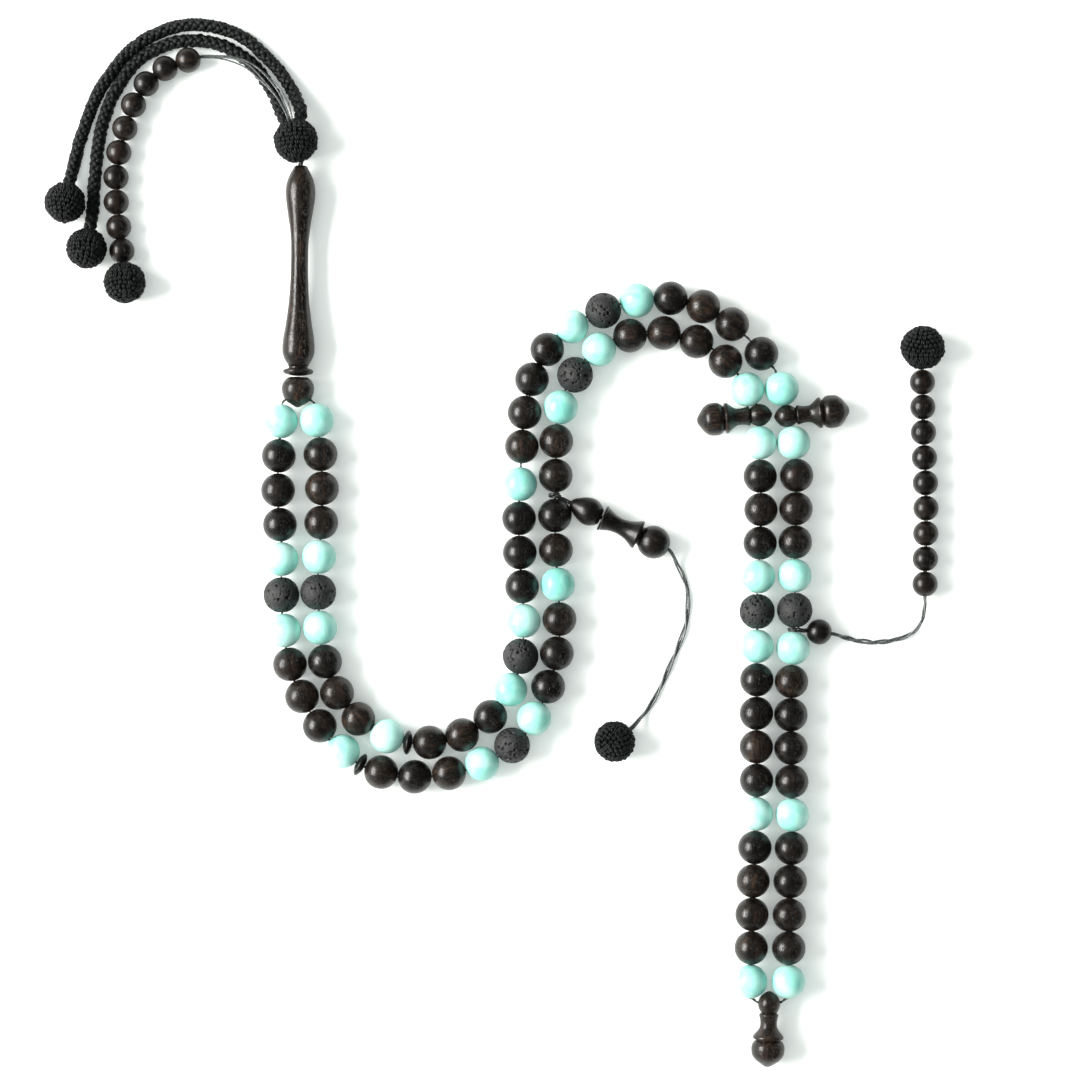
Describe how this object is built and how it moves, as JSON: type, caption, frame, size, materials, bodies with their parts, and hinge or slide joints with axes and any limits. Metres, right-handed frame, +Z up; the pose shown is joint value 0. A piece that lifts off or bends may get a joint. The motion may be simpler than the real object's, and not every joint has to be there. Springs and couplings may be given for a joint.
{
  "type": "prayer beads",
  "caption": "Misbaha: a corded loop of round wood and stone beads laid flat, with imam, tassel of two braids, cross finials and hanging counters.",
  "frame": {"origin": "on the surface the beads lie on, under the middle of the footprint of the strung loop with its imam, tassel head ball and finials", "axes": "+Z up from the surface, +Y from the end finial towards the tassel, +X to the right seen from above"},
  "size_m": [0.2153, 0.2517, 0.0104],
  "materials": {
    "ebony": "oiled and polished dark wood, fine red-brown grain, open pores",
    "amazonite": "polished opaque mint stone with cloudy variation",
    "lava": "matte charcoal porous stone with round pits",
    "satin_black_wood": "black wood, satin polish",
    "black_cotton": "matte black crocheted and braided cotton",
    "waxed_cord": "black waxed thread with a dull shine"
  },
  "bodies": {
    "strung_loop": {"counter_loop": "waxed_cord", "counter_stop_bead": "satin_black_wood", "imam_junction_bead": "ebony", "left_bead_01_amazonite": "amazonite", "left_bead_11_amazonite": "amazonite", "left_bead_50_amazonite": "amazonite", "left_beads_02_04_ebony": "ebony", "left_beads_05_07_amazonite_lava": "amazonite", "left_beads_08_10_ebony": "ebony", "left_beads_12_14_ebony": "ebony", "left_beads_15_17_amazonite_lava": "amazonite", "left_beads_18_23_ebony_amazonite": "ebony", "left_beads_24_25_ebony": "ebony", "left_beads_26_28_amazonite_lava": "amazonite", "left_beads_29_33_ebony_amazonite": "ebony", "left_beads_34_37_ebony_amazonite": "ebony", "left_beads_38_40_amazonite_lava": "amazonite", "left_beads_41_49_ebony_amazonite": "ebony", "right_bead_01_amazonite": "amazonite", "right_bead_11_amazonite": "amazonite", "right_bead_50_amazonite": "amazonite", "right_beads_02_04_ebony": "ebony", "right_beads_05_07_amazonite_lava": "amazonite", "right_beads_08_10_ebony": "ebony", "right_beads_12_14_ebony": "ebony", "right_beads_15_17_amazonite_lava": "amazonite", "right_beads_18_25_ebony_amazonite": "ebony", "right_beads_26_28_amazonite_lava": "amazonite", "right_beads_29_33_ebony_amazonite": "ebony", "right_beads_34_37_ebony_amazonite": "ebony", "right_beads_38_39_amazonite_lava": "lava", "right_beads_40_49_ebony_amazonite": "ebony", "stringing_cord": "waxed_cord"},
    "imam": {"imam_shaft": "ebony", "imam_ring": "ebony", "imam_cord": "waxed_cord"},
    "tassel_head": {"tassel_head_ball": "black_cotton"},
    "outer_braid": {"tassel_outer_braid": "black_cotton", "tassel_outer_ball": "black_cotton"},
    "inner_braid": {"tassel_inner_braid": "black_cotton", "tassel_inner_ball": "black_cotton"},
    "tassel_string": {"tassel_string": "waxed_cord", "tassel_bead_run": "satin_black_wood", "tassel_string_ball": "black_cotton"},
    "tassel_bead": {"tassel_sliding_bead": "satin_black_wood"},
    "left_finial": {"left_cross_finial": "ebony"},
    "right_finial": {"right_cross_finial": "ebony"},
    "end_finial": {"end_finial": "ebony"},
    "marker": {"marker_loop": "waxed_cord", "marker_drop_bead": "satin_black_wood", "marker_round_bead": "satin_black_wood"},
    "marker_spool": {"marker_spool": "satin_black_wood"},
    "marker_tail": {"marker_cord": "waxed_cord", "marker_ball": "black_cotton"},
    "counter_tail": {"counter_cord": "waxed_cord", "counter_bead_run": "satin_black_wood", "counter_ball": "black_cotton"},
    "counter_bead": {"counter_sliding_bead": "satin_black_wood"},
    "left_disc": {"left_divider_disc": "satin_black_wood"},
    "right_disc": {"right_divider_disc": "satin_black_wood"}
  },
  "joints": [
    {"name": "imam_flex", "type": "hinge", "parent": "strung_loop", "child": "imam", "pos_m": [-0.06173, 0.05192, 0.00403], "axis": [0, 0, 1], "range_deg": [-12, 12]},
    {"name": "tassel_swing", "type": "hinge", "parent": "imam", "child": "tassel_head", "pos_m": [-0.06217, 0.10832, 0.00535], "axis": [0, 0, 1], "range_deg": [-25, 25]},
    {"name": "inner_braid_fan", "type": "hinge", "parent": "tassel_head", "child": "inner_braid", "pos_m": [-0.06217, 0.10832, 0.00535], "axis": [0, 0, 1], "range_deg": [-7.5, 0]},
    {"name": "outer_braid_fan", "type": "hinge", "parent": "inner_braid", "child": "outer_braid", "pos_m": [-0.06217, 0.10832, 0.00535], "axis": [0, 0, 1], "range_deg": [-7.5, 0]},
    {"name": "tassel_string_fan", "type": "hinge", "parent": "tassel_head", "child": "tassel_string", "pos_m": [-0.06217, 0.10832, 0.00535], "axis": [0, 0, 1], "range_deg": [0, 12]},
    {"name": "tassel_bead_slide", "type": "slide", "parent": "tassel_string", "child": "tassel_bead", "axis": [0.9755, 0.2198, 0], "range_m": [0, 0.0015]},
    {"name": "left_finial_lift", "type": "hinge", "parent": "strung_loop", "child": "left_finial", "pos_m": [0.04923, 0.04262, 0.00403], "axis": [-0.1962, 0.9806, 0], "range_deg": [0, 75]},
    {"name": "right_finial_lift", "type": "hinge", "parent": "strung_loop", "child": "right_finial", "pos_m": [0.05533, 0.04232, 0.00403], "axis": [0.1818, -0.9833, 0], "range_deg": [0, 75]},
    {"name": "end_finial_lift", "type": "hinge", "parent": "strung_loop", "child": "end_finial", "pos_m": [0.05133, -0.09848, 0.00403], "axis": [-1, 0, 0], "range_deg": [0, 90]},
    {"name": "marker_swing", "type": "hinge", "parent": "strung_loop", "child": "marker", "pos_m": [0.00001, 0.02328, 0.00403], "axis": [0, 0, 1], "range_deg": [-3, 12]},
    {"name": "marker_spool_spin", "type": "hinge", "parent": "marker", "child": "marker_spool", "pos_m": [0.01121, 0.01796, 0.00403], "axis": [0.9033, -0.4289, 0], "continuous": true},
    {"name": "marker_tail_swing", "type": "hinge", "parent": "marker", "child": "marker_tail", "pos_m": [0.02711, 0.01041, 0.00403], "axis": [0, 0, 1], "range_deg": [-6, 15]},
    {"name": "counter_tail_swing", "type": "hinge", "parent": "strung_loop", "child": "counter_tail", "pos_m": [0.06639, -0.00975, 0.00298], "axis": [0, 0, 1], "range_deg": [-30, 10]},
    {"name": "counter_bead_slide", "type": "slide", "parent": "counter_tail", "child": "counter_bead", "axis": [-0.0072, -1, 0], "range_m": [0, 0.003]},
    {"name": "left_disc_spin", "type": "hinge", "parent": "strung_loop", "child": "left_disc", "pos_m": [-0.04677, -0.04131, 0.00403], "axis": [0.8779, -0.4789, 0], "continuous": true},
    {"name": "right_disc_spin", "type": "hinge", "parent": "strung_loop", "child": "right_disc", "pos_m": [-0.0354, -0.03599, 0.00403], "axis": [0.9931, -0.1177, 0], "continuous": true}
  ]
}
